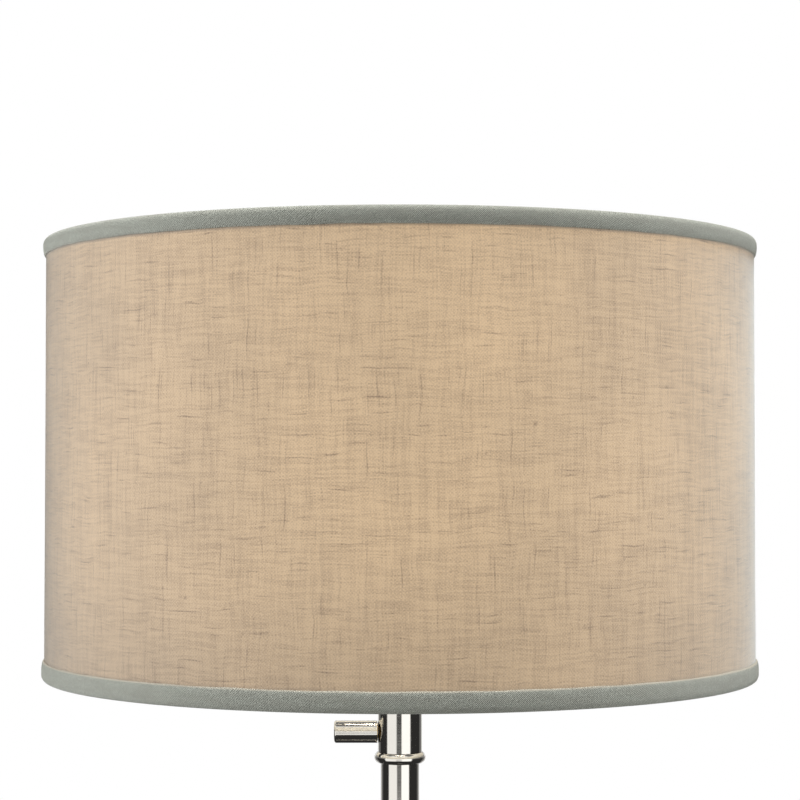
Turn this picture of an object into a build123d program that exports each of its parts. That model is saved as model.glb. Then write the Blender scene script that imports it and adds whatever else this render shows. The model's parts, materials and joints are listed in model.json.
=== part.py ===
from build123d import *
import os

# Column floor lamp with a telescoping pole and a linen drum shade, in mm.
# +Z is up. The origin is on the floor, on the axis of the pole.

# Driving dimensions
lamp_h = 1524.0  # floor to finial tip, pole fully raised
base_r = 139.7
base_h = 28.5
wide_r = 12.7  # 1 in tube: lower poles and neck
slim_r = 11.1  # 7/8 in tube: the pole that slides
fit = 0.08  # radial clearance of a sliding or turning fit
travel = 300.0  # how far the head comes down
shade_r = 203.2
shade_h = 248.7
shade_top = lamp_h - 12.0
shade_low = shade_top - shade_h
trim_top_h = 9.3
trim_low_h = 11.0
trim_proud = 1.8
knob_r = 6.35
knob_len = 24.9
harp_half = 57.0
bulb_r = 30.0

# Heights worked out from those
bead_h = 6.4
neck_low = shade_low - 47.3 - bead_h / 2
neck_floor = neck_low + bead_h
knob_z = shade_low - 32.8
neck_top = neck_floor + 68.6
saddle_z = neck_top + 3.0
socket_z = saddle_z + 1.5
ferrule_z = socket_z + 0.1
spider_z = lamp_h - 27.0
joint_z = 300.0
collar_z = 698.0
middle_top = collar_z + 22.0
lock_z = collar_z + 12.0
slide_low = joint_z + 25.0 + travel

# Sections
pad_h = 2.0
weight_r = base_r - 7.7
cover_wall = 1.5
lead_z = 8.0  # height of the cord's hole in the base
thread_r = 5.0  # 1/8 IP lamp nipple
wire_hole_r = 3.2
middle_bore = slim_r + fit
tube_wall = 1.2
lower_bore = wide_r - tube_wall
slim_bore = slim_r - tube_wall
neck_bore = wide_r - 1.5
shoe_r = 3.0
screw_r = 2.5
lock_knob_r = 9.0
spindle_r = 2.0
bush_r = 3.5
socket_r = 17.0
socket_wall = 0.8
insulator_r = socket_r - 2 * socket_wall
cap_thread_r = 13.0
thread_pitch = 3.2  # bulb thread
threads = 6
ring_wire_r = 1.5
arm_r = 1.6
stud_r = 3.2
post_r = 2.2
post_x = 24.0
liner_r = shade_r - 1.6
cover_r = shade_r - 0.8
ring_r = liner_r - ring_wire_r - 0.1
trim_in = ring_r - ring_wire_r - 0.1
arm_angles = (90, 210, 330)
ON_BASE = (Align.CENTER, Align.CENTER, Align.MIN)


def rod(radius, low, high):
    return Pos(0, 0, low) * Cylinder(radius, high - low, align=ON_BASE)


def tube(inner, outer, low, high):
    return rod(outer, low, high) - rod(inner, low - 1, high + 1)


def rod_x(radius, x_low, x_high, z):
    return Pos(x_low, 0, z) * Rot(0, 90, 0) * Cylinder(radius, x_high - x_low, align=ON_BASE)


def turned(*lines):
    """The solid that a closed outline of (radius, height) lines makes about the pole's axis."""
    return revolve(Plane.XZ * make_face(lines), Axis.Z)


def turned_points(*points):
    return turned(Polyline(*points, close=True))


def bead(bore, low, radius, height):
    """A ring with a half-round edge."""
    flat = radius - height / 2
    high = low + height
    edge = ThreePointArc((flat, low), (radius, low + height / 2), (flat, high))
    return turned(Polyline((flat, high), (bore, high), (bore, low), (flat, low)), edge)


def hex_nut(across, bore, low, high):
    prism = extrude(RegularPolygon(across / 2, 6, major_radius=False), high - low)
    return Pos(0, 0, low) * prism - rod(bore, low - 1, high + 1)


# ---- Base ----

def base_pad():
    return tube(18, weight_r, 0, pad_h)


def base_weight():
    """Cast disc with a hub, a nut pocket underneath and a channel for the lead."""
    high = base_h - cover_wall
    disc = turned_points(
        (0, pad_h), (weight_r, pad_h), (weight_r, 12), (36, 15.5), (22, 15.5), (22, high), (0, high)
    )
    channel = Pos(0, weight_r / 2, 6.5) * Box(9, weight_r + 2, 9)
    return disc - rod(thread_r, 0, base_h) - rod(20, 0, 10) - channel


def base_cover():
    """Spun steel dish that hides the weight."""
    def dish(inset):
        rim = base_r - inset
        curve = FilletPolyline(
            (0, base_h - inset),
            (26 - inset / 2, base_h - inset),
            (34 - inset / 2, 20 - inset),
            (rim, 15.5 - inset),
            (rim, pad_h),
            radius=[4 - inset / 2, 8, 6 - inset],
        )
        return turned(curve, Polyline((rim, pad_h), (0, pad_h), (0, base_h - inset)))

    lead_hole = Pos(0, base_r - 10, lead_z) * Rot(-90, 0, 0) * Cylinder(4.5, 20, align=ON_BASE)
    return dish(0) - dish(cover_wall) - rod(thread_r, 0, base_h + 1) - lead_hole


def cord_bushing():
    barrel = Cylinder(4.5, 5.2, align=ON_BASE)
    flange = Pos(0, 0, 5.2) * Cylinder(5.8, 1.3, align=ON_BASE)
    flange = fillet(flange.edges().group_by(Axis.Z)[-1], 0.6)
    hole = Cylinder(wire_hole_r, 20)
    return Pos(0, base_r - 5.2, lead_z) * Rot(-90, 0, 0) * (barrel + flange - hole)


def base_washer():
    return tube(thread_r, 14, 8.4, 10)


def base_nut():
    return hex_nut(16, thread_r, 4.4, 8.4)


def base_nipple():
    return tube(wire_hole_r, thread_r, 3.5, 50)


# ---- Fixed pole ----

def pole_foot_ring():
    """Stepped ring that covers the foot of the pole."""
    low = base_h
    foot = ThreePointArc((22, low + 1.5), (20.6, low + 5), (17.2, low + 6.4))
    bulge = ThreePointArc((17.2, low + 6.4), (18.6, low + 9.2), (15.6, low + 11.4))
    rest = Polyline((15.6, low + 11.4), (wide_r, low + 11.4), (wide_r, low), (22, low), (22, low + 1.5))
    return turned(foot, bulge, rest)


def pole_foot_insert():
    return tube(thread_r, lower_bore, base_h, base_h + 20)


def pole_lower():
    return tube(lower_bore, wide_r, base_h, joint_z)


def pole_coupler():
    """Screwed plug that joins the two fixed tubes."""
    low_end = rod(lower_bore, joint_z - 18, joint_z)
    waist = rod(9, joint_z, joint_z + bead_h)
    top_end = rod(middle_bore, joint_z + bead_h, joint_z + 18)
    return low_end + waist + top_end - rod(4, joint_z - 20, joint_z + 20)


def pole_joint_ring():
    return bead(9, joint_z, 14.8, bead_h)


def pole_middle():
    body = tube(middle_bore, wide_r, joint_z + bead_h, middle_top)
    return body - rod_x(shoe_r + fit, 8, 14, lock_z)


def lock_collar():
    """Collar on top of the fixed pole, with a threaded boss for the clamp screw."""
    high = collar_z + 34
    outline = FilletPolyline((0, collar_z), (17, collar_z), (17, high), (0, high), radius=[1.5, 5])
    body = turned(outline, Line((0, high), (0, collar_z)))
    boss = rod_x(7, 10, 26, lock_z)
    boss = fillet(boss.edges().group_by(Axis.X)[-1], 1)
    body += boss
    body -= rod(wide_r, collar_z - 1, middle_top)
    body -= rod(12.6, middle_top, middle_top + 10)
    body -= rod(slim_r + 0.2, middle_top, collar_z + 40)
    body -= rod_x(shoe_r + fit, 8, 16, lock_z)
    return body - rod_x(screw_r + fit, 15, 30, lock_z)


def collar_liner():
    return tube(middle_bore, 12.6, middle_top, middle_top + 10)


# ---- Height clamp ----

def lock_shoe():
    return rod_x(shoe_r, slim_r + 0.02, 14.8, lock_z)


def lock_screw():
    return rod_x(screw_r, 14.8, 37, lock_z)


def lock_knob():
    """Round clamp knob with sixteen finger flutes."""
    flutes = 16
    head = rod_x(lock_knob_r, 28, 41, lock_z)
    head = fillet(head.edges().filter_by(GeomType.CIRCLE), 1.2)
    for i in range(flutes):
        centre = Rot(i * 360 / flutes, 0, 0) * Pos(0, lock_knob_r + 0.4, 0)
        head -= Pos(34.5, 0, lock_z) * centre * Rot(0, 90, 0) * Cylinder(0.9, 20)
    return head - rod_x(screw_r, 27, 37, lock_z)


# ---- Sliding pole and neck ----

def pole_guide():
    plug = tube(4, slim_bore, slide_low, slide_low + 16)
    return plug + tube(4, slim_r + fit / 2, slide_low - 5, slide_low)


def pole_upper():
    return tube(slim_bore, slim_r, slide_low, neck_low)


def neck_insert():
    """Threaded plug in the top of the sliding pole."""
    stem = rod(slim_bore, neck_low - 20, neck_low) + rod(thread_r, neck_low, neck_floor + 4.1)
    return stem - rod(wire_hole_r, neck_low - 21, neck_floor + 5)


def neck_ring():
    return bead(thread_r, neck_low, 14.8, bead_h)


def neck_housing():
    """Wide tube with a floor; it holds the switch."""
    shell = rod(wide_r, neck_floor, neck_top) - rod(neck_bore, neck_floor + 1.5, neck_top + 1)
    shell -= rod(thread_r, neck_floor - 1, neck_floor + 2)
    return shell - rod_x(bush_r + 0.1, -wide_r - 2, -wide_r / 2, knob_z)


def neck_nut():
    return hex_nut(15, thread_r, neck_floor + 1.5, neck_floor + 4)


def neck_cap():
    plug = rod(neck_bore, neck_top - 4, neck_top)
    lid = fillet(rod(wide_r, neck_top, saddle_z).edges().group_by(Axis.Z)[-1], 2)
    return plug + lid - rod(thread_r, neck_top - 5, neck_top + 4)


def cap_nut():
    return hex_nut(15, thread_r, neck_top - 7, neck_top - 4)


def socket_nipple():
    return tube(wire_hole_r, thread_r, neck_top - 10, socket_z + 6)


# ---- Switch ----

def switch_body():
    """Rotary switch with its threaded bush."""
    can = rod_x(6, -9.3, 7, knob_z)
    bush = rod_x(bush_r, -16, -9.3, knob_z)
    return can + bush - rod_x(spindle_r + fit, -17, -4.9, knob_z)


def switch_nut():
    ring = rod_x(5, -14.9, -12.8, knob_z)
    return ring - rod_x(bush_r, -16, -12, knob_z)


def switch_spindle():
    return rod_x(spindle_r, -33, -5, knob_z)


def switch_knob():
    """Plain bar knob; its back is hollow to clear the nut."""
    inner = -wide_r - 0.4
    bar = rod_x(knob_r, inner - knob_len, inner, knob_z)
    bar = fillet(bar.edges().group_by(Axis.X)[0], 1.2)
    bar -= rod_x(5.3, -17.2, inner + 1, knob_z)
    return bar - rod_x(spindle_r, -33, inner, knob_z)


# ---- Harp ----

def harp_saddle():
    """Flat strip under the socket, with a post at each end."""
    strip = Pos(0, 0, saddle_z) * extrude(SlotCenterToCenter(2 * post_x, 10), 1.5)
    strip += rod(10, saddle_z, socket_z)
    for side in (-1, 1):
        strip += Pos(side * post_x, 0, 0) * rod(post_r, socket_z, ferrule_z + 9)
    return strip - rod(thread_r, saddle_z - 1, socket_z + 1)


def harp():
    """Sprung wire hoop round the bulb, with the stud that carries the shade."""
    foot = ferrule_z + 9
    top = spider_z - 7
    left = [
        (-post_x, foot), (-post_x, foot + 24), (-harp_half, foot + 66), (-harp_half, top - 38), (-30, top)
    ]
    right = [(-x, z) for x, z in reversed(left)]
    route = Plane.XZ * FilletPolyline(*left, *right, radius=[20, 30, 40, 25, 25, 40, 30, 20])
    hoop = sweep(Plane(origin=(-post_x, 0, foot)) * Circle(arm_r), route)
    seat = rod(6, top - 2.5, spider_z)
    return hoop + seat + rod(stud_r, spider_z, spider_z + 13)


def harp_ferrule(side):
    sleeve = tube(post_r + fit, 4.2, ferrule_z, ferrule_z + 16)
    sleeve = fillet(sleeve.edges().group_by(Axis.Z)[-1].sort_by(SortBy.RADIUS)[-1:], 0.8)
    return Pos(side * post_x, 0, 0) * sleeve


# ---- Socket and bulb ----

def socket_cap():
    high = socket_z + 18

    def cup(inset):
        low = socket_z + inset
        side = socket_r - inset
        shoulder = (side, socket_z + 9)
        curve = ThreePointArc((9, low), (side - 2, socket_z + 3.6 + inset / 2), shoulder)
        return turned(curve, Polyline(shoulder, (side, high), (0, high), (0, low), (9, low)))

    inside = cup(socket_wall) + rod(socket_r - socket_wall, high - 1, high + 1)
    return cup(0) - inside - rod(thread_r, socket_z - 1, socket_z + 2)


def socket_shell():
    low = socket_z + 18
    high = low + 28
    bore = socket_r - socket_wall
    flare = socket_r + 0.4
    lip = turned(
        Polyline((socket_r, high), (bore, high), (bore, high + 2), (flare, high + 2)),
        ThreePointArc((flare, high + 2), (socket_r + 1, high + 1), (socket_r, high)),
    )
    return tube(bore, socket_r, low, high) + lip


def socket_insulator():
    return tube(insulator_r, socket_r - socket_wall, socket_z + 12, socket_z + 47)


def socket_body():
    return tube(2.5, insulator_r, socket_z + 12, socket_z + 25)


def screw_shell():
    """Rolled brass thread that the bulb screws into."""
    bore = cap_thread_r + 0.3
    root = bore + 0.3
    crest = bore + 1.2
    shell = tube(bore, bore + 0.6, socket_z + 25, socket_z + 47)
    for i in range(threads):
        groove_z = socket_z + 27.5 + thread_pitch * i
        shell -= turned_points((crest, groove_z), (root, groove_z + 0.8), (crest, groove_z + 1.6))
    return shell


def centre_contact():
    return rod(4, socket_z + 25, socket_z + 26.3)


def bulb_cap():
    low = socket_z + 29
    crest = cap_thread_r
    root = crest - 1
    cap = rod(crest - 0.6, low, low + 24) + rod(4, low - 2, low)
    for i in range(threads):
        ridge = low + 2 + thread_pitch * i
        cap += turned_points((root, ridge), (crest, ridge + 1), (crest, ridge + 1.4), (root, ridge + 2.4))
    return cap


def bulb_glass():
    """Frosted globe with a hollow neck that stands on the cap."""
    low = socket_z + 53

    def globe(inset):
        radius = bulb_r - inset
        neck = 13.4 - inset
        middle = low + 56
        side = Spline(
            (neck, low), (neck + 3.6, low + 18), (radius - 4, low + 37), (radius, middle),
            tangents=((0.05, 1), (0, 1)),
        )
        crown = RadiusArc((radius, middle), (0, middle + radius), -radius)
        return turned(side, crown, Polyline((0, middle + radius), (0, low), (neck, low)))

    return globe(0) - globe(0.9)


# ---- Shade ----

def shade_spider():
    """Top ring, three arms and the centre washer, welded into one frame."""
    ring_z = shade_top - 1.2 - ring_wire_r
    frame = Pos(0, 0, ring_z) * Torus(ring_r, ring_wire_r)
    frame += rod(14, spider_z + 0.05, spider_z + 2)
    arm_low = spider_z + 1.05
    for angle in arm_angles:
        route = FilletPolyline(
            (12, arm_low), (27, arm_low), (48, ring_z), (ring_r, ring_z), radius=[10, 10]
        )
        arm = sweep(Plane(origin=(12, 0, arm_low), z_dir=(1, 0, 0)) * Circle(arm_r), Plane.XZ * route)
        frame += Rot(0, 0, angle) * arm
    return frame - rod(stud_r + fit, spider_z - 3, spider_z + 5)


def shade_bottom_ring():
    return Pos(0, 0, shade_low + 1.2 + ring_wire_r) * Torus(ring_r, ring_wire_r)


def shade_liner():
    return tube(liner_r, cover_r, shade_low + 1.2, shade_top - 1.2)


def shade_cover():
    return tube(cover_r, shade_r, shade_low + 1.2, shade_top - 1.2)


def trim(edge, inward, height):
    """Tape folded over one edge of the drum. inward is -1 at the top edge and 1 at the bottom."""
    outer = shade_r + trim_proud
    fold = edge + inward
    hem = edge + 8 * inward
    lip = edge + height * inward
    corner = ThreePointArc(
        (outer, edge + 2 * inward), (outer - 0.6, edge + 0.6 * inward), (outer - 2, edge)
    )
    rest = Polyline(
        (outer - 2, edge), (trim_in - 0.8, edge), (trim_in - 0.8, hem), (trim_in, hem), (trim_in, fold),
        (shade_r, fold), (shade_r, lip), (outer, lip), (outer, edge + 2 * inward),
    )
    return turned(corner, rest)


def trim_top():
    """The inner fold is cut away round each arm of the spider."""
    tape = trim(shade_top, -1, trim_top_h)
    for angle in arm_angles:
        tape -= Rot(0, 0, angle) * Pos(trim_in - 0.5, 0, shade_top - 6) * Box(3, 5, 10)
    return tape


def trim_bottom():
    return trim(shade_low, 1, trim_low_h)


def finial():
    """Small turned knob that screws on to the stud and holds the shade down."""
    low = spider_z + 2.05
    ball_r = 8.6
    waist_r = 4.8
    ball_z = lamp_h - ball_r
    waist_z = ball_z - (ball_r**2 - waist_r**2) ** 0.5
    foot = rod(8, low, low + 2)
    waist = turned(
        Line((8, low + 2), (0, low + 2)),
        Line((0, low + 2), (0, waist_z)),
        Line((0, waist_z), (waist_r, waist_z)),
        ThreePointArc((waist_r, waist_z), (5.4, low + 4.6), (8, low + 2)),
    )
    ball = Pos(0, 0, ball_z) * Sphere(ball_r)
    return foot + waist + ball - rod(stud_r + fit, low - 1, low + 12)


parts = {
    "base_pad": base_pad(),
    "base_weight": base_weight(),
    "base_cover": base_cover(),
    "cord_bushing": cord_bushing(),
    "base_washer": base_washer(),
    "base_nut": base_nut(),
    "base_nipple": base_nipple(),
    "pole_foot_ring": pole_foot_ring(),
    "pole_foot_insert": pole_foot_insert(),
    "pole_lower": pole_lower(),
    "pole_coupler": pole_coupler(),
    "pole_joint_ring": pole_joint_ring(),
    "pole_middle": pole_middle(),
    "lock_collar": lock_collar(),
    "collar_liner": collar_liner(),
    "lock_shoe": lock_shoe(),
    "lock_screw": lock_screw(),
    "lock_knob": lock_knob(),
    "pole_guide": pole_guide(),
    "pole_upper": pole_upper(),
    "neck_insert": neck_insert(),
    "neck_ring": neck_ring(),
    "neck_housing": neck_housing(),
    "neck_nut": neck_nut(),
    "neck_cap": neck_cap(),
    "cap_nut": cap_nut(),
    "socket_nipple": socket_nipple(),
    "switch_body": switch_body(),
    "switch_nut": switch_nut(),
    "switch_spindle": switch_spindle(),
    "switch_knob": switch_knob(),
    "harp_saddle": harp_saddle(),
    "harp": harp(),
    "harp_ferrule_left": harp_ferrule(-1),
    "harp_ferrule_right": harp_ferrule(1),
    "socket_cap": socket_cap(),
    "socket_shell": socket_shell(),
    "socket_insulator": socket_insulator(),
    "socket_body": socket_body(),
    "screw_shell": screw_shell(),
    "centre_contact": centre_contact(),
    "bulb_cap": bulb_cap(),
    "bulb_glass": bulb_glass(),
    "shade_spider": shade_spider(),
    "shade_bottom_ring": shade_bottom_ring(),
    "shade_liner": shade_liner(),
    "shade_cover": shade_cover(),
    "trim_top": trim_top(),
    "trim_bottom": trim_bottom(),
    "finial": finial(),
}

os.makedirs("parts", exist_ok=True)
for name, solid in parts.items():
    export_step(solid, f"parts/{name}.step")
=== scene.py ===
import json
import math

import bmesh
import bpy
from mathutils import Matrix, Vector, noise


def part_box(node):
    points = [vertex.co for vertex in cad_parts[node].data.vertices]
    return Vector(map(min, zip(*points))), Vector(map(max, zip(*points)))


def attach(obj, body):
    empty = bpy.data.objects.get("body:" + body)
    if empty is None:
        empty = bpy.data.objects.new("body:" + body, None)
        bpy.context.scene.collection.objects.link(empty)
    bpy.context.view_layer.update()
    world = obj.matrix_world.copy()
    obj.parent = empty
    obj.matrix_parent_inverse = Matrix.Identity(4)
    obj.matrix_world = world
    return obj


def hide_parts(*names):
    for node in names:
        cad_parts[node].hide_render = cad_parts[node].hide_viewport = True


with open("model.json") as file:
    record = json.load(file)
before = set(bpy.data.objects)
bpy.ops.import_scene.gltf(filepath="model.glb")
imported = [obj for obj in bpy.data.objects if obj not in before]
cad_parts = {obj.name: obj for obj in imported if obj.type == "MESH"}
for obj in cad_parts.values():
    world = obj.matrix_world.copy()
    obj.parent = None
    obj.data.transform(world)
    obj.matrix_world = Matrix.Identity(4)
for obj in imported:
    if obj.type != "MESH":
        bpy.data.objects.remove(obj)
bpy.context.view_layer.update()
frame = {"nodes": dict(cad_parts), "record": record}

# ---- Places, in metres, read from the frame ----

cover_low, cover_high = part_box("shade_cover")
top_trim_low, top_trim_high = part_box("trim_top")
bottom_trim_low, bottom_trim_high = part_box("trim_bottom")
bulb_low, bulb_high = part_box("bulb_glass")
ring_low, ring_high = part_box("shade_bottom_ring")

cover_r = cover_high.x
trim_r = top_trim_high.x
ring_inner_r = ring_high.x - (ring_high.z - ring_low.z)
shade_top = top_trim_high.z
shade_low = bottom_trim_low.z
shade_middle = (shade_top + shade_low) / 2
bulb_middle = bulb_high.z - (bulb_high.x - bulb_low.x) / 2

BACK = math.pi / 2  # +Y, where the cloth's ends meet
TURN = 2 * math.pi

# The cloth's laps at the back, in metres.
COLUMNS = 720  # steps round the drum
LIFT = 0.0005  # how far a lapped end stands off
LIFT_RUN = 0.0012  # how soon it gets there
HEM_ROWS = 2  # rows of the tape's fold inside the drum
LIP_ROWS = 6  # rows of it at the outer edge


# ---- Camera ----

def add_camera():
    """In front, just below the drum's middle, tilted up a little."""
    distance = 1.276
    eye_height = shade_low + 0.1214
    tilt_up = math.radians(1.678)
    data = bpy.data.cameras.new("camera")
    data.sensor_width = 36
    data.lens = 99.06
    data.clip_start = 0.05
    camera = bpy.data.objects.new("camera", data)
    camera.location = (0, -distance, eye_height)
    camera.rotation_euler = (math.pi / 2 + tilt_up, 0, 0)
    bpy.context.collection.objects.link(camera)
    bpy.context.scene.camera = camera


# ---- Shader building ----

class Shader:
    """A Principled material with short names for the nodes it needs."""

    def __init__(self, name, **values):
        self.material = bpy.data.materials.new(name)
        self.material.use_nodes = True
        self.tree = self.material.node_tree
        self.surface = self.tree.nodes["Principled BSDF"]
        for socket, value in values.items():
            self.surface.inputs[socket.replace("_", " ")].default_value = value

    def node(self, kind, **inputs):
        made = self.tree.nodes.new("ShaderNode" + kind)
        for socket, value in inputs.items():
            self.feed(made.inputs[socket.replace("_", " ")], value)
        return made

    def feed(self, socket, value):
        if isinstance(value, bpy.types.NodeSocket):
            self.tree.links.new(value, socket)
        else:
            socket.default_value = value

    def math(self, operation, a, b=0.0):
        made = self.tree.nodes.new("ShaderNodeMath")
        made.operation = operation
        self.feed(made.inputs[0], a)
        self.feed(made.inputs[1], b)
        return made.outputs[0]

    def place(self):
        """The point's x, y and z in the frame, in metres."""
        coordinates = self.tree.nodes.new("ShaderNodeTexCoord").outputs["Object"]
        split = self.node("SeparateXYZ", Vector=coordinates)
        return split.outputs[0], split.outputs[1], split.outputs[2]

    def vector(self, x, y, z=0.0):
        return self.node("CombineXYZ", X=x, Y=y, Z=z).outputs[0]

    def noise(self, vector, scale=1.0, detail=2.0, roughness=0.5):
        made = self.node("TexNoise", Vector=vector, Scale=scale, Detail=detail, Roughness=roughness)
        return made.outputs[0]

    def spread(self, value, low, high, to_low=0.0, to_high=1.0):
        made = self.node(
            "MapRange", Value=value, From_Min=low, From_Max=high, To_Min=to_low, To_Max=to_high
        )
        made.interpolation_type = "SMOOTHSTEP"
        return made.outputs[0]

    def mix(self, factor, a, b, blend="MIX"):
        made = self.tree.nodes.new("ShaderNodeMix")
        made.data_type = "RGBA"
        made.blend_type = blend
        self.feed(made.inputs[0], factor)
        self.feed(made.inputs[6], a)
        self.feed(made.inputs[7], b)
        return made.outputs[2]

    def bump(self, height, distance, strength=1.0):
        made = self.node("Bump", Height=height, Distance=distance, Strength=strength)
        self.feed(self.surface.inputs["Normal"], made.outputs[0])

    def set(self, **inputs):
        for socket, value in inputs.items():
            self.feed(self.surface.inputs[socket.replace("_", " ")], value)
        return self.material


def round_the_pole(shader):
    """Distance round the drum and height, in metres."""
    x, y, z = shader.place()
    angle = shader.math("ARCTAN2", y, x)
    return shader.math("MULTIPLY", angle, cover_r), z


# ---- Materials ----

def nickel():
    """Polished nickel plate: faint turning lines, a little haze and a few rubbed patches."""
    s = Shader("polished_nickel", Metallic=1.0)
    x, y, z = s.place()
    side, level = 40, 1200  # lines far closer up the lamp than round it
    turning = s.noise(
        s.vector(s.math("MULTIPLY", x, side), s.math("MULTIPLY", y, side), s.math("MULTIPLY", z, level))
    )
    haze = s.noise(s.vector(x, y, z), scale=28, detail=4)
    colour = s.mix(s.spread(haze, 0.35, 0.7), (0.79, 0.765, 0.71, 1), (0.74, 0.71, 0.65, 1))
    rough = s.math("ADD", s.spread(haze, 0.3, 0.75, 0.07, 0.13), s.math("MULTIPLY", turning, 0.04))
    s.bump(turning, 0.00002, 0.1)
    return s.set(Base_Color=colour, Roughness=rough)


def plated_wire():
    """Duller plating on the harp and the drum's wires."""
    s = Shader("plated_steel", Metallic=1.0)
    x, y, z = s.place()
    grain = s.noise(s.vector(x, y, z), scale=420, detail=3)
    blotch = s.noise(s.vector(x, y, z), scale=60, detail=2)
    colour = s.mix(blotch, (0.62, 0.60, 0.55, 1), (0.50, 0.48, 0.44, 1))
    s.bump(grain, 0.00004, 0.5)
    return s.set(Base_Color=colour, Roughness=s.spread(blotch, 0.3, 0.7, 0.22, 0.36))


def brass():
    """Spun brass shell, tarnished in patches."""
    s = Shader("brass", Metallic=1.0)
    x, y, z = s.place()
    tarnish = s.noise(s.vector(x, y, z), scale=130, detail=4)
    lines = s.noise(s.vector(x, y, s.math("MULTIPLY", z, 30)), scale=90)
    colour = s.mix(s.spread(tarnish, 0.4, 0.75), (0.72, 0.52, 0.22, 1), (0.48, 0.33, 0.13, 1))
    s.bump(lines, 0.00005, 0.4)
    return s.set(Base_Color=colour, Roughness=s.spread(tarnish, 0.3, 0.7, 0.2, 0.4))


def speckled(name, light, dark, scale, roughness, depth, metallic):
    """A moulded or cast surface with a fine grain."""
    s = Shader(name, Metallic=metallic)
    x, y, z = s.place()
    fine = s.noise(s.vector(x, y, z), scale=scale, detail=4)
    broad = s.noise(s.vector(x, y, z), scale=scale / 12)
    colour = s.mix(s.spread(broad, 0.35, 0.65), (*light, 1), (*dark, 1))
    s.bump(fine, depth, 0.6)
    low, high = roughness
    return s.set(Base_Color=colour, Roughness=s.spread(fine, 0.3, 0.7, low, high))


def frosted_glass():
    """The lit bulb: a hot middle, cooler towards the cap."""
    s = Shader("frosted_glass", Roughness=0.35, Emission_Strength=2.4)
    x, y, z = s.place()
    frost = s.noise(s.vector(x, y, z), scale=900, detail=3)
    near = s.spread(z, bulb_low.z, bulb_middle)
    glow = s.mix(near, (0.62, 0.40, 0.20, 1), (1.0, 0.86, 0.62, 1))
    glow = s.mix(s.spread(frost, 0.35, 0.7, 0.0, 0.12), glow, (0.8, 0.66, 0.45, 1))
    s.bump(frost, 0.00003, 0.3)
    return s.set(Base_Color=(0.9, 0.88, 0.82, 1), Emission_Color=glow)


def lit_styrene():
    """The drum's white backing, seen from inside, with a painted glow that is brightest level with the
    bulb.
    """
    s = Shader("shade_styrene", Roughness=0.45, Emission_Strength=0.17)
    across, z = round_the_pole(s)
    level = s.math("DIVIDE", s.math("SUBTRACT", z, bulb_middle), 0.17)
    near = s.math("SUBTRACT", 1.0, s.math("MULTIPLY", level, level))
    grain = s.noise(s.vector(across, z), scale=700, detail=2)
    painted_glow_patches = s.noise(s.vector(across, z), scale=22, detail=3)
    # Painted glow by height round the bulb, with darker warm patches painted in.
    glow = s.mix(s.spread(near, 0.0, 1.0), (0.48, 0.44, 0.38, 1), (1.0, 0.94, 0.84, 1))
    glow = s.mix(s.spread(painted_glow_patches, 0.35, 0.7, 0.0, 0.16), glow, (0.66, 0.5, 0.32, 1))
    s.bump(grain, 0.00002, 0.3)
    return s.set(Base_Color=(0.86, 0.84, 0.79, 1), Emission_Color=glow)


def threads(s, across, along, pitch, run, seed):
    """How thick each thread is along its length, from 0 to 1: one line of noise for every thread."""
    number = s.math("FLOOR", s.math("DIVIDE", across, pitch))
    line = s.math("ADD", s.math("MULTIPLY", number, 5.37), seed)
    return s.noise(s.vector(s.math("DIVIDE", along, run), line), detail=1.5)


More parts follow.
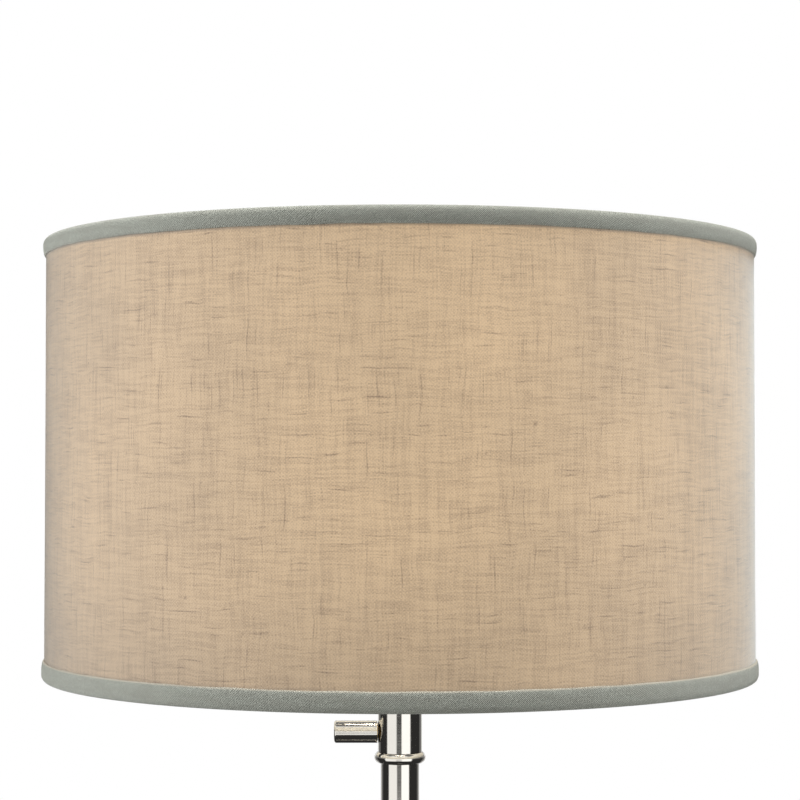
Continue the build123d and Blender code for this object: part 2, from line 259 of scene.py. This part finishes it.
def linen():
    """Plain-weave linen with slubs, glued to the backing, with the bulb's light shining out of it painted
    in as a glow.
    """
    s = Shader("linen", Roughness=0.9, Sheen_Weight=1.0, Sheen_Roughness=0.42, Emission_Strength=0.575)
    s.surface.inputs["Sheen Tint"].default_value = (0.86, 0.95, 1.0, 1)
    s.surface.inputs["Specular IOR Level"].default_value = 0.2
    around, z = round_the_pole(s)
    pitch = 0.00088

    # The threads wander by up to a thread's width or two.
    wander = 0.004
    lean = s.math("MULTIPLY", s.noise(s.vector(around, z), scale=45, detail=2.0), wander)
    sag = s.math("MULTIPLY", s.noise(s.vector(z, around), scale=52, detail=2.0), wander)
    wide, tall = s.math("ADD", around, lean), s.math("ADD", z, sag)

    warp = threads(s, wide, tall, pitch, 0.03, 3.1)
    weft = threads(s, tall, wide, pitch, 0.024, 41.7)
    slub_up = s.spread(threads(s, wide, tall, pitch * 0.8, 0.030, 17.9), 0.58, 0.78)
    slub_along = s.spread(threads(s, tall, wide, pitch * 0.8, 0.020, 90.3), 0.58, 0.80)
    streak = s.spread(threads(s, tall, wide, pitch * 4, 0.03, 12.4), 0.5, 0.8)
    column = s.spread(threads(s, wide, tall, pitch * 5, 0.12, 55.2), 0.45, 0.75)
    knots = s.spread(s.noise(s.vector(wide, tall), scale=210, detail=1.0), 0.72, 0.82)
    fine = s.noise(s.vector(around, z), scale=1350, detail=1.0)

    up = s.math("SINE", s.math("MULTIPLY", wide, math.pi / pitch))
    along = s.math("SINE", s.math("MULTIPLY", tall, math.pi / pitch))
    crossing = s.math("MULTIPLY", up, along)
    relief = s.math("ADD", s.math("MULTIPLY", crossing, 0.35), s.math("ADD", warp, weft))

    thick = s.math("ADD", s.spread(warp, 0.36, 0.66, 0, 0.17), s.spread(weft, 0.36, 0.66, 0, 0.22))
    for part, weight in (
        (crossing, 0.13),
        (slub_up, 0.38),
        (slub_along, 0.48),
        (streak, 0.14),
        (column, 0.10),
        (knots, 0.35),
        (s.math("SUBTRACT", fine, 0.5), 0.95),
    ):
        thick = s.math("ADD", thick, s.math("MULTIPLY", part, weight))

    cloth = s.mix(thick, (0.190, 0.186, 0.188, 1), (0.158, 0.143, 0.136, 1))
    painted_glow_colour = s.mix(thick, (1.0, 0.69, 0.37, 1), (0.36, 0.225, 0.12, 1))

    # Painted glow: brightest a little above the middle, dimmer towards the edges and next to the tapes.
    level = s.math("DIVIDE", s.math("SUBTRACT", z, shade_middle + 0.03), 0.19)
    painted_glow_fade = s.math("SUBTRACT", 1.0, s.math("MULTIPLY", s.math("MULTIPLY", level, level), 0.42))
    # Painted shadow on the cloth just below the top tape and just above the bottom tape.
    painted_shadow_below_top_tape = s.spread(z, top_trim_low.z - 0.0018, top_trim_low.z, 1.0, 0.4)
    painted_shadow_above_bottom_tape = s.spread(z, bottom_trim_high.z, bottom_trim_high.z + 0.0022, 0.8, 1.0)
    painted_glow_patches = s.noise(s.vector(around, z), scale=13, detail=2)
    painted_glow_fade = s.math("MULTIPLY", painted_glow_fade, s.math("MULTIPLY", painted_shadow_below_top_tape, painted_shadow_above_bottom_tape))
    painted_glow_fade = s.math("MULTIPLY", painted_glow_fade, s.spread(painted_glow_patches, 0.25, 0.75, 0.93, 1.06))
    grey = s.node("CombineColor", Red=painted_glow_fade, Green=painted_glow_fade, Blue=painted_glow_fade).outputs[0]
    painted_glow_colour = s.mix(1.0, painted_glow_colour, grey, "MULTIPLY")

    s.bump(relief, 0.00012, 0.6)
    return s.set(Base_Color=cloth, Emission_Color=painted_glow_colour)


def tape():
    """Bias-cut cotton tape: a fine twill that runs at 45 degrees, with painted shade along its wrinkles and
    a painted highlight along the bottom tape's upper edge.
    """
    s = Shader("trim_tape", Roughness=0.85, Sheen_Weight=0.3, Sheen_Roughness=0.45)
    around, z = round_the_pole(s)
    pitch = 0.0010
    along, across = s.math("SUBTRACT", around, z), s.math("ADD", around, z)
    rise = s.math("MULTIPLY", across, TURN / pitch)
    fall = s.math("MULTIPLY", along, TURN / (pitch * 1.35))
    ribs = s.math("ADD", s.math("SINE", rise), s.math("MULTIPLY", s.math("SINE", fall), 0.6))
    fuzz = s.noise(s.vector(*s.place()), scale=1300, detail=2)
    wear = s.noise(s.vector(around, s.math("MULTIPLY", z, 5)), scale=60, detail=3)
    painted_crease_shade = s.noise(s.vector(along, s.math("MULTIPLY", across, 12)), scale=55)
    shade = s.math("ADD", s.math("MULTIPLY", ribs, 0.17), s.math("MULTIPLY", fuzz, 0.9))
    colour = s.mix(s.spread(shade, 0.05, 0.85), (0.31, 0.315, 0.27, 1), (0.58, 0.59, 0.515, 1))
    colour = s.mix(s.spread(wear, 0.35, 0.7, 0.0, 0.4), colour, (0.36, 0.35, 0.30, 1))
    # Painted shade: darker streaks along the tape's wrinkles.
    colour = s.mix(s.spread(painted_crease_shade, 0.66, 0.76, 0.0, 0.35), colour, (0.22, 0.22, 0.195, 1))
    # Painted highlight: a paler line along the upper edge of the bottom tape.
    painted_edge_highlight = s.spread(z, bottom_trim_high.z - 0.0009, bottom_trim_high.z - 0.0003, 0.0, 0.75)
    on_bottom_tape = s.math("LESS_THAN", z, shade_middle)
    colour = s.mix(s.math("MULTIPLY", painted_edge_highlight, on_bottom_tape), colour, (0.66, 0.60, 0.49, 1))
    s.bump(s.math("ADD", ribs, fuzz), 0.00012, 0.7)
    return s.set(Base_Color=colour)


# Name: light colour, dark colour, grain per metre, lowest and highest roughness, grain depth, metallic.
PLAIN = {
    "nylon": ((0.80, 0.79, 0.74), (0.72, 0.70, 0.64), 500, (0.35, 0.5), 0.00003, 0.0),
    "phenolic": ((0.035, 0.03, 0.028), (0.06, 0.05, 0.042), 400, (0.22, 0.34), 0.00003, 0.0),
    "cast_iron": ((0.06, 0.06, 0.06), (0.10, 0.095, 0.09), 300, (0.55, 0.75), 0.0003, 0.0),
    "pad_rubber": ((0.04, 0.04, 0.04), (0.06, 0.06, 0.058), 600, (0.75, 0.9), 0.0002, 0.0),
    "bushing_plastic": ((0.03, 0.03, 0.03), (0.05, 0.05, 0.05), 700, (0.4, 0.55), 0.00003, 0.0),
    "fibre_liner": ((0.40, 0.30, 0.19), (0.30, 0.22, 0.14), 350, (0.7, 0.85), 0.0001, 0.0),
    "bulb_aluminium": ((0.72, 0.72, 0.70), (0.60, 0.60, 0.58), 200, (0.25, 0.4), 0.00003, 1.0),
}


def make_materials():
    """Every material the record names, by its slot."""
    made = {name: speckled(name, *values) for name, values in PLAIN.items()}
    made["polished_nickel"] = nickel()
    made["plated_steel"] = plated_wire()
    made["brass"] = brass()
    made["frosted_glass"] = frosted_glass()
    made["shade_styrene"] = lit_styrene()
    made["linen"] = linen()
    made["trim_tape"] = tape()
    return made


def paint_nodes(materials):
    """Gives every CAD node the material of its slot."""
    for part in frame["record"]["subparts"]:
        node = frame["nodes"][part["node"]]
        if not node.material_slots:
            node.data.materials.append(None)
        for place in node.material_slots:
            place.link = "OBJECT"
            place.material = materials[part["material_slot"]]


# ---- Cloth ----

def cloth_object(name, grid, material, slot_name, *replaced):
    """A single sheet from rows of points, smooth, riding on the shade."""
    mesh = bmesh.new()
    rows = [[mesh.verts.new(point) for point in row] for row in grid]
    for below, above in zip(rows, rows[1:]):
        for i in range(len(below) - 1):
            mesh.faces.new((below[i], below[i + 1], above[i + 1], above[i]))
    bmesh.ops.recalc_face_normals(mesh, faces=mesh.faces)
    data = bpy.data.meshes.new(name)
    mesh.to_mesh(data)
    mesh.free()
    data.materials.append(material)
    data.shade_smooth()
    piece = bpy.data.objects.new(name, data)
    bpy.context.collection.objects.link(piece)
    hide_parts(*replaced)
    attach(piece, "shade")
    return piece


def lapped_angles(lap, radius):
    """Angles once round from the back, with a lap past the start, and how far each is into the lap."""
    sweep = TURN + lap / radius
    for i in range(COLUMNS + 1):
        angle = sweep * i / COLUMNS
        yield BACK + angle, max(0.0, angle - TURN) * radius


def add_linen(material):
    """Linen glued round the drum, with its two ends lapped at the back."""
    rows, lap = 30, 0.012
    low, high = cover_low.z + 0.0004, cover_high.z - 0.0004
    grid = []
    for row in range(rows + 1):
        z = low + (high - low) * row / rows
        line = []
        for angle, into_lap in lapped_angles(lap, cover_r):
            ripple = noise.noise(Vector((math.cos(angle) * 9, math.sin(angle) * 9, z * 14))) * 0.00012
            radius = cover_r - 0.0002 + ripple + LIFT * min(1.0, into_lap / LIFT_RUN)
            line.append((radius * math.cos(angle), radius * math.sin(angle), z))
        grid.append(line)
    piece = cloth_object("linen_cover", grid, material, "linen", "shade_cover")


def fold_profile(lip_drop):
    """The folded tape's section at the top edge: (radius, height) from the inner hem to the outer lip."""
    edge = shade_top
    inner, outer = ring_inner_r - 0.0003, trim_r
    middle, half = (inner + outer) / 2, (outer - inner) / 2
    roll, steps = 0.0040, 20
    flat = 0.8  # under 1 squares the round edge
    points = [(inner, edge - 0.0078), (inner - 0.0002, edge - 0.0055)]
    for i in range(steps + 1):
        angle = math.pi * (1 - i / steps)
        across = math.copysign(abs(math.cos(angle)) ** flat, math.cos(angle))
        points.append((middle + half * across, edge - roll + roll * math.sin(angle) ** flat))
    for above_lip, inset in ((0.0043, 0.0), (0.0029, 0.0001), (0.0017, 0.0003), (0.0007, 0.0006)):
        points.append((outer - inset, edge - lip_drop + above_lip))
    points += [(outer - 0.0011, edge - lip_drop), (cover_r + 0.0003, edge - lip_drop - 0.0001)]
    return points


def add_trim(name, replaced, material, inward, height):
    """Tape folded over one edge of the drum. inward is -1 at the top edge and 1 at the bottom."""
    lap = 0.014
    profile = fold_profile(height)
    lip = len(profile) - LIP_ROWS
    grid = []
    for i, (radius, level) in enumerate(profile):
        line = []
        drop = shade_top - level
        for angle, into_lap in lapped_angles(lap, trim_r):
            waver = noise.noise(Vector((math.cos(angle) * 11, math.sin(angle) * 11, 3 + inward)))
            pucker = noise.noise(Vector((math.cos(angle) * 60, math.sin(angle) * 60, radius * 300)))
            slack = waver * 0.0004 if i >= lip else 0.0
            r = radius + pucker * 0.00008 - 0.0001 - LIFT * 0.5
            r += LIFT * 0.5 * min(1.0, into_lap / LIFT_RUN) * (1 if i > HEM_ROWS else -1)
            z = shade_top - drop - slack if inward < 0 else shade_low + drop + slack
            line.append((r * math.cos(angle), r * math.sin(angle), z))
        grid.append(line)
    piece = cloth_object(name, grid, material, "trim_tape", replaced)


# ---- Stage and light ----

def add_floor():
    """A pale round floor. It is left out of the polished parts' reflections."""
    mesh = bmesh.new()
    bmesh.ops.create_circle(mesh, cap_ends=True, segments=96, radius=2.3)
    data = bpy.data.meshes.new("floor")
    mesh.to_mesh(data)
    mesh.free()
    floor = bpy.data.objects.new("floor", data)
    floor.location.z = -0.0005
    floor.visible_glossy = False
    bpy.context.collection.objects.link(floor)
    s = Shader("floor", Roughness=0.9)
    x, y, z = s.place()
    mottle = s.noise(s.vector(x, y, z), scale=3)
    data.materials.append(s.set(Base_Color=s.mix(mottle, (0.46, 0.46, 0.45, 1), (0.50, 0.50, 0.49, 1))))


def add_softbox(name, azimuth, elevation, distance, size, power, colour):
    """A square light that faces the shade. Azimuth 0 is in front, at -Y, and 90 is at +X."""
    a, e = math.radians(azimuth), math.radians(elevation)
    direction = Vector((math.sin(a) * math.cos(e), -math.cos(a) * math.cos(e), math.sin(e)))
    data = bpy.data.lights.new(name, "AREA")
    data.size = size
    data.energy = power
    data.color = colour
    light = bpy.data.objects.new(name, data)
    light.location = Vector((0, 0, shade_middle - 0.1)) + direction * distance
    light.rotation_euler = direction.to_track_quat("Z", "Y").to_euler()
    light.visible_glossy = False
    light.visible_camera = False
    bpy.context.collection.objects.link(light)


def add_bulb_light():
    """The light inside the drum, which rides on the bulb."""
    data = bpy.data.lights.new("bulb_light", "POINT")
    data.energy = 0.9
    data.color = (1.0, 0.90, 0.77)
    data.shadow_soft_size = 0.034
    light = bpy.data.objects.new("bulb_light", data)
    light.location = (0, 0, bulb_middle)
    bpy.context.collection.objects.link(light)
    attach(light, "bulb")


def add_world():
    """White to the eye, a dim fill for the cloth, and for the metal a dark room with large softboxes."""
    world = bpy.data.worlds.new("studio")
    world.use_nodes = True
    bpy.context.scene.world = world
    nodes, links = world.node_tree.nodes, world.node_tree.links

    def feed(socket, value):
        if isinstance(value, bpy.types.NodeSocket):
            links.new(value, socket)
        else:
            socket.default_value = value

    def calc(operation, a, b=0.0):
        made = nodes.new("ShaderNodeMath")
        made.operation = operation
        feed(made.inputs[0], a)
        feed(made.inputs[1], b)
        return made.outputs[0]

    def step(value, at, soft):
        made = nodes.new("ShaderNodeMapRange")
        made.interpolation_type = "SMOOTHSTEP"
        feed(made.inputs["Value"], value)
        made.inputs["From Min"].default_value = at - soft
        made.inputs["From Max"].default_value = at + soft
        return made.outputs[0]

    def window(value, low, high, soft):
        return calc("SUBTRACT", step(value, low, soft), step(value, high, soft))

    split = nodes.new("ShaderNodeSeparateXYZ")
    links.new(nodes.new("ShaderNodeTexCoord").outputs["Generated"], split.inputs[0])
    x, y, z = split.outputs[0], split.outputs[1], split.outputs[2]
    azimuth = calc("DEGREES", calc("ARCTAN2", x, calc("MULTIPLY", y, -1.0)))
    boxes = 0.0
    for low, high, bright in (
        (-70.5, -18.0, 1.05),
        (8.5, 55.5, 1.3),
        (124.0, 148.0, 0.16),
        (-148.0, -124.0, 0.16),
        (148.0, 172.0, 0.8),
        (-172.0, -148.0, 0.8),
    ):
        boxes = calc("ADD", calc("MULTIPLY", window(azimuth, low, high, 3.0), bright), boxes)
    boxes = calc("MULTIPLY", boxes, window(z, -0.52, 0.93, 0.05))
    # Between the two front boxes: dark level with the tubes, lit above and below that for the bar.
    front = window(azimuth, -18.0, 8.5, 3.0)
    under = window(z, -0.45, -0.16, 0.02)
    over = window(z, -0.07, 0.88, 0.02)
    between = calc("MULTIPLY", front, calc("ADD", under, over))
    ceiling = calc("MULTIPLY", step(z, 0.04, 0.05), 0.17)
    walls = 0.03
    room = calc("ADD", calc("ADD", boxes, between), calc("ADD", ceiling, walls))

    path = nodes.new("ShaderNodeLightPath")
    glossy, camera_ray = path.outputs["Is Glossy Ray"], path.outputs["Is Camera Ray"]
    fill = 0.07
    lit = calc("ADD", calc("MULTIPLY", glossy, room), calc("MULTIPLY", calc("SUBTRACT", 1.0, glossy), fill))
    strength = calc("ADD", calc("MULTIPLY", lit, calc("SUBTRACT", 1.0, camera_ray)), camera_ray)
    background = nodes["Background"]
    background.inputs["Color"].default_value = (1, 1, 1, 1)
    links.new(strength, background.inputs["Strength"])


def set_colour():
    """Colours straight to the screen, with no film look."""
    view = bpy.context.scene.view_settings
    view.view_transform = "Standard"
    view.look = "None"


add_camera()
materials = make_materials()
paint_nodes(materials)
add_linen(materials["linen"])
add_trim("tape_top", "trim_top", materials["trim_tape"], -1, top_trim_high.z - top_trim_low.z)
add_trim("tape_bottom", "trim_bottom", materials["trim_tape"], 1, bottom_trim_high.z - bottom_trim_low.z)
add_floor()
# Azimuth, elevation, distance and size in metres, power in watts, colour.
add_softbox("left_light", -74, 12, 2.4, 1.3, 51, (0.95, 0.98, 1.0))
add_softbox("right_light", 70, 14, 2.4, 1.3, 33, (0.95, 0.98, 1.0))
add_softbox("top_light", 50, 79, 2.0, 0.9, 36, (1.0, 1.0, 0.98))
add_softbox("back_light", 180, 35, 3.0, 1.6, 40, (1.0, 0.99, 0.97))
add_bulb_light()
add_world()
set_colour()
